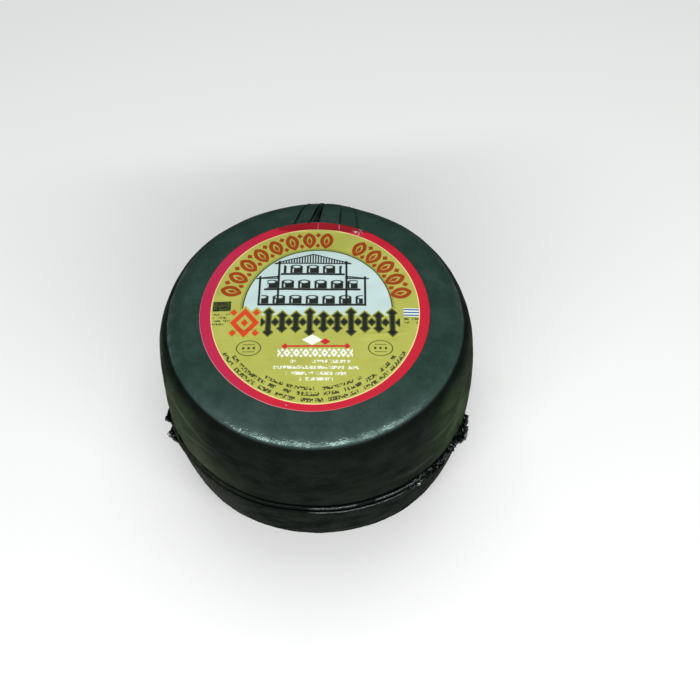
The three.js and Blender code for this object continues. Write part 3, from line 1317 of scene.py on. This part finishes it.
@dataclass
class FoldedWeld:
    """One welded end of the bag: a fin of doubled film, folded down flat against the wall."""

    form: WheelForm
    name: str
    bearing: float
    gathers: Pair  # where its crumpled stretch begins and ends, from its middle
    seed: int
    thickness: float = 0.55 * MM
    columns: int = 760
    fin: tuple[Pair, ...] = (
        (-1.1, 1.1), (0.1, 0.95), (0.85, 0.6), (1.05, -0.1), (0.85, -0.9), (0.65, -1.9), (0.55, -3.0),
        (0.70, -3.8), (1.20, -4.3), (1.30, -4.7),
    )  # its section in mm, out from the wall and up from the weld's top

    def section(self, steps: int = 22) -> tuple[Array, Array]:
        """Returns: the fin's section, finely and smoothly spaced, as distances out and up."""
        out, up = np.array(self.fin).T * MM
        share = np.linspace(0, len(out) - 1, steps)
        knots, nudges = np.arange(len(out)), (-0.45, 0.0, 0.45)
        soft = (np.mean([np.interp(share + n, knots, line) for n in nudges], axis=0) for line in (out, up))
        return tuple(soft)

    def build(self) -> Object:
        """Returns: the closed mesh of the fin."""
        sweep = self.form.seam.half_sweep + radians(2.0)
        turn = np.linspace(-sweep, sweep, self.columns)[None, :]
        out, up = (a[:, None] for a in self.section())
        low, high = self.gathers
        crumpled = smooth(turn, low - 0.12, low + 0.05) * smooth(turn, high + 0.1, high - 0.02)
        crumple = 0.06 + 0.94 * crumpled
        run = turn * self.form.rim_radius
        depth = np.linspace(0, 1, out.shape[0])[:, None]
        swell = Waves(3.4 * MM, self.seed).at(run, up) + 0.7 * Waves(1.7 * MM, self.seed + 1).at(run, up)
        sway = Waves(5.5 * MM, self.seed + 2).at(run, up * 0.4)
        slow = Waves(38 * MM, self.seed + 3).at(run, 0 * up)
        tapered = smooth(abs(turn), sweep, sweep - radians(3.0))
        fading = 0.3 + 0.7 * smooth(abs(turn), sweep, sweep - radians(9.0))
        up = (up + 2 * MM) * fading - 2 * MM
        out = out * (0.35 + 0.65 * tapered) + crumple * MM * (0.55 * swell * (0.25 + depth) + 0.15)
        up = up + MM * (0.75 * crumple * sway * depth + 0.30 * slow)
        azimuth = self.bearing + turn
        z = self.form.seam.level(azimuth) + up
        radius = self.form.wall_radius(z) + out + 0.25 * MM
        lift = self.form.body(radius, z, azimuth)
        radius = radius + lift
        # crest marks where the finish paints pale glints and lays gloss, along the bead and the flared edge
        # and in flecks on the crumpled stretch; groove marks the valley between, where it paints shade.
        lines = hump(depth - 0.22, 0.030) + 1.8 * hump(depth - 0.84, 0.035)
        patchy = smooth(Waves(17 * MM, self.seed + 4).at(run, 5 * up), -1.2, -0.2)
        crest = lines * patchy * smooth(turn, -0.06, 0.02) * smooth(turn, low + 0.10, low)
        crest = crest + 0.4 * crumpled * smooth(Waves(2.4 * MM, self.seed + 5).at(run, up), 1.1, 1.9)
        groove = smooth(depth, 0.34, 0.40) * smooth(depth, 0.76, 0.68) * (1 - crumpled)
        crumpled = crumpled + 0 * depth
        marks = {"crest": crest[::-1], "crumpled": crumpled[::-1], "groove": groove[::-1]}
        return leaf(self.name, polar(radius, azimuth, z)[::-1], self.thickness, **marks)

    def dress(self, piece: Object) -> None:
        """Gives the fin its finish and its place in the frame."""
        carry(piece, WeldedFinish(f"{self.name}_film").material(), "shrink_bag")


@dataclass
class BagEar:
    """One loose corner of the bag, where a weld ends: a crumpled leaf of film standing off the wall."""

    form: WheelForm
    name: str
    bearing: float
    outline: tuple[Pair, ...]  # its edge: degrees from the bearing, and reach in mm
    curl: float  # how far its edge turns up
    sink: float  # how far it sits below the weld's middle
    seed: int
    thickness: float = 2.6 * MM  # of the whole crumpled wad, at its root
    crumple: float = 0.8 * MM
    rows: int = 34
    columns: int = 130

    def build(self) -> Object:
        """Returns: the closed mesh of the ear."""
        turns, reaches = np.array(self.outline).T
        turn = np.linspace(turns[0], turns[-1], self.columns)[None, :]
        share = np.linspace(0.0, 1.0, self.rows)[:, None]
        reach = np.interp(turn, turns, reaches) * MM
        out = share * reach
        run = np.radians(turn) * self.form.rim_radius
        rough = Waves(5.2 * MM, self.seed).at(run, out) + 0.6 * Waves(2.3 * MM, self.seed + 1).at(run, out)
        pinch = Waves(3.0 * MM, self.seed + 2).at(run, out)
        middle = self.form.seam.level(self.bearing) - self.form.seam.width / 2 - self.sink
        rise = self.crumple * rough * (0.3 + 0.7 * share) * np.minimum(reach / MM, 1)
        z = middle + self.curl * share**1.5 + rise
        radius = self.form.wall_radius(middle) - 1.2 * MM + out * 1.15 + 0.35 * MM * pinch * share
        azimuth = self.bearing + np.radians(turn) + 0.30 * MM * pinch / radius
        knots = np.clip(1 + 0.35 * Waves(3.1 * MM, self.seed + 4).at(run, out), 0.4, 1.6)
        body = self.thickness * knots * (1 - 0.65 * share) * np.minimum(0.15 + reach / (4 * MM), 1)
        # crest marks where the finish paints pale glints and lays gloss: flecks over the ear and its outer
        # edge.
        glints = 0.7 * smooth(Waves(2.6 * MM, self.seed + 3).at(run, out), 1.0, 1.7)
        crest = np.maximum(0.7 * smooth(share, 0.75, 1.0) * reach / MM / 4, glints)
        return leaf(self.name, polar(radius, azimuth, z), body, crest=crest, crumpled=1.0, groove=0.0)

    def dress(self, piece: Object) -> None:
        """Gives the ear its finish and its place in the frame."""
        carry(piece, WeldedFinish(f"{self.name}_film").material(), "shrink_bag")


@dataclass
class PaperLabel:
    """The round paper label, stuck down on the uneven film."""

    form: WheelForm
    thickness: float = 0.16 * MM
    lift: float = 0.10 * MM
    rings: int = 110
    columns: int = 420
    paper_creases: tuple[tuple[float, ...], ...] = (
        (-0.80, -0.42, -0.235, 0.05, 0.30),
        (-0.74, -0.50, -0.275, 0.06, 0.16),
        (0.36, 0.86, -0.255, 0.10, 0.26),
        (0.30, 0.62, -0.300, 0.02, 0.14),
        (-0.50, 0.10, 0.02, -0.03, 0.10),
        (-0.30, 0.55, 0.893, -0.04, 0.22),
    )  # each with its left and right ends, level and slope, in label radii, and its height in mm

    def creases(self, x: Array, y: Array) -> Array:
        """Returns: how far the paper stands up in its creases."""
        radius = self.form.label_radius
        height = 0.0 * x
        u, v = x / radius, y / radius
        for left, right, level, slope, tall in self.paper_creases:
            line = level + slope * (u - (left + right) / 2)
            along = smooth(u, left, left + 0.15) * smooth(u, right, right - 0.15)
            height += tall * MM * along * hump(v - line, 0.013)
        return height

    def build(self) -> Object:
        """Returns: the closed mesh of the paper."""
        share = np.linspace(0.004, 1.0, self.rings)[:, None] ** 0.8
        azimuth = np.linspace(-pi, pi, self.columns, endpoint=False)[None, :]
        reach = self.form.label_radius * share * (1 + 0.008 * hump(turned_from(azimuth, BACK), 0.45))
        x, y = reach * np.cos(azimuth), reach * np.sin(azimuth)
        under = self.form.top(x, y) + self.lift + self.creases(x, y)
        mesh = Mesh()
        over = mesh.grid(np.stack([x, y, under + self.thickness], axis=2), around=True, flip=True)
        beneath = mesh.grid(np.stack([x, y, under], axis=2), around=True)
        rim, foot = np.append(over[-1], over[-1, 0]), np.append(beneath[-1], beneath[-1, 0])
        mesh.bridge(foot, rim)
        mesh.fan(np.array([[0, 0, (under + self.thickness)[0].mean()]]), over[0])
        mesh.fan(np.array([[0, 0, under[0].mean()]]), beneath[0], flip=True)
        return mesh.object("paper_label")

    def dress(self, piece: Object) -> None:
        """Gives the label its print and its place in the frame."""
        carry(piece, LabelFinish().material(self.form.label_radius), "label")


# --------------------------------------------------------------------------- the studio


@dataclass(frozen=True)
class Softbox:
    """A soft square light that faces the wheel."""

    name: str
    azimuth: float  # the bearing it stands on, in degrees
    elevation: float
    distance: float
    width: float
    height: float
    power: float

    def build(self, aim: tuple[float, float, float]) -> None:
        """Args: aim: the point that the light faces."""
        data = bpy.data.lights.new(self.name, "AREA")
        data.shape = "RECTANGLE"
        data.size, data.size_y = self.width, self.height
        data.energy = self.power
        light = bpy.data.objects.new(self.name, data)
        bearing, rise = radians(self.azimuth), radians(self.elevation)
        flat = self.distance * math.cos(rise)
        away = (flat * math.cos(bearing), flat * math.sin(bearing), self.distance * math.sin(rise))
        light.location = [a + b for a, b in zip(aim, away)]
        light.rotation_euler = (pi / 2 - rise, 0.0, bearing + pi / 2)
        bpy.context.scene.collection.objects.link(light)


@dataclass
class Studio:
    """A plain pale floor, soft lights, and the camera above the front of the wheel."""

    form: WheelForm
    floor_size: float = 6.0
    ambient: float = 0.25
    ambient_tint: tuple[float, float, float, float] = (0.93, 1.0, 0.98, 1.0)
    pitch: float = radians(57.52)
    lens: float = 44.06
    aside: float = 17.8 * MM  # the camera's place from the wheel's axis, to the right
    before: float = 249.0 * MM  # in front of the axis
    above: float = 459.41 * MM  # above the floor

    def softboxes(self) -> list[Softbox]:
        """Returns: the lights."""
        return [
            Softbox("front_softbox", -84.0, 39.0, distance=1.10, width=2.40, height=0.12, power=20.0),
            Softbox("top_softbox", 88.0, 68.0, distance=1.60, width=1.60, height=1.10, power=10.5),
        ]

    def build(self) -> None:
        """Builds the floor, the lights, the surroundings and the camera."""
        half = self.floor_size / 2
        corners = np.array([[[-half, -half, 0], [half, -half, 0]], [[-half, half, 0], [half, half, 0]]])
        mesh = Mesh()
        mesh.grid(corners.astype(float))
        floor = mesh.object("studio_floor")
        floor.data.materials.append(FloorFinish().material())
        for softbox in self.softboxes():
            softbox.build((0.0, 0.0, self.form.height / 2))
        world = bpy.data.worlds.new("studio_surroundings")
        world.use_nodes = True
        background = world.node_tree.nodes["Background"]
        background.inputs["Color"].default_value = self.ambient_tint
        background.inputs["Strength"].default_value = self.ambient
        scene = bpy.context.scene
        scene.world = world
        scene.view_settings.view_transform = "Standard"
        data = bpy.data.cameras.new("studio_camera")
        data.lens = self.lens
        data.clip_start = 0.02
        camera = bpy.data.objects.new("studio_camera", data)
        camera.location = (self.aside, -self.before, self.above)
        camera.rotation_euler = (pi / 2 - self.pitch, 0.0, 0.0)
        scene.collection.objects.link(camera)
        scene.camera = camera
        log.info("studio: %d lights", len(self.softboxes()))


def wheel_form() -> WheelForm:
    """Returns: the wheel's form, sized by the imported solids."""
    low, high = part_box("shrink_bag")
    cheese_low, cheese_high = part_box("cheese_wheel")
    label_low, label_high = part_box("label")
    film_and_gap = cheese_low.z
    rim_radius = (cheese_high.x - cheese_low.x) / 2 + film_and_gap - WheelForm.bulge
    return WheelForm(high.z - low.z, rim_radius, (label_high.x - label_low.x) / 2)


def main() -> None:
    """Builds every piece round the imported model, then the studio."""
    logging.basicConfig(level=logging.INFO, format="%(name)s: %(message)s")
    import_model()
    form = wheel_form()
    Studio(form).build()
    near_left, near_right, far_right, far_left = form.seam.ends()
    jagged = ((-10, 0), (-7.5, 2.2), (-5.0, 4.0), (-2.0, 1.2), (0.5, 5.6), (2.5, 4.2), (4.0, 4.6), (8.5, 0))
    pointed = ((-9, 0), (-1.5, 6.8), (6, 3.4), (7, 3.8), (10, 0))
    notched = ((-9, 0), (-4, 4.2), (0, 2.0), (3, 5.0), (9, 0))
    plain = ((-8, 0), (-1, 6.2), (4, 3.0), (9, 0))
    pieces = [
        CheeseBody(form),
        FilmSkin(form),
        FoldedWeld(form, "front_weld", FRONT, gathers=(radians(36), radians(64)), seed=21),
        FoldedWeld(form, "back_weld", BACK, gathers=(radians(-64), radians(-40)), seed=41),
        BagEar(form, "front_left_ear", near_left, jagged, curl=1.5 * MM, sink=2.4 * MM, seed=61),
        BagEar(form, "front_right_ear", near_right, pointed, curl=0.5 * MM, sink=1.8 * MM, seed=71),
        BagEar(form, "back_right_ear", far_right, notched, curl=2.0 * MM, sink=1.0 * MM, seed=81),
        BagEar(form, "back_left_ear", far_left, plain, curl=-2.0 * MM, sink=0.0, seed=91),
        PaperLabel(form),
    ]
    for piece in pieces:
        piece.dress(piece.build())


if __name__ == "__main__":
    main()
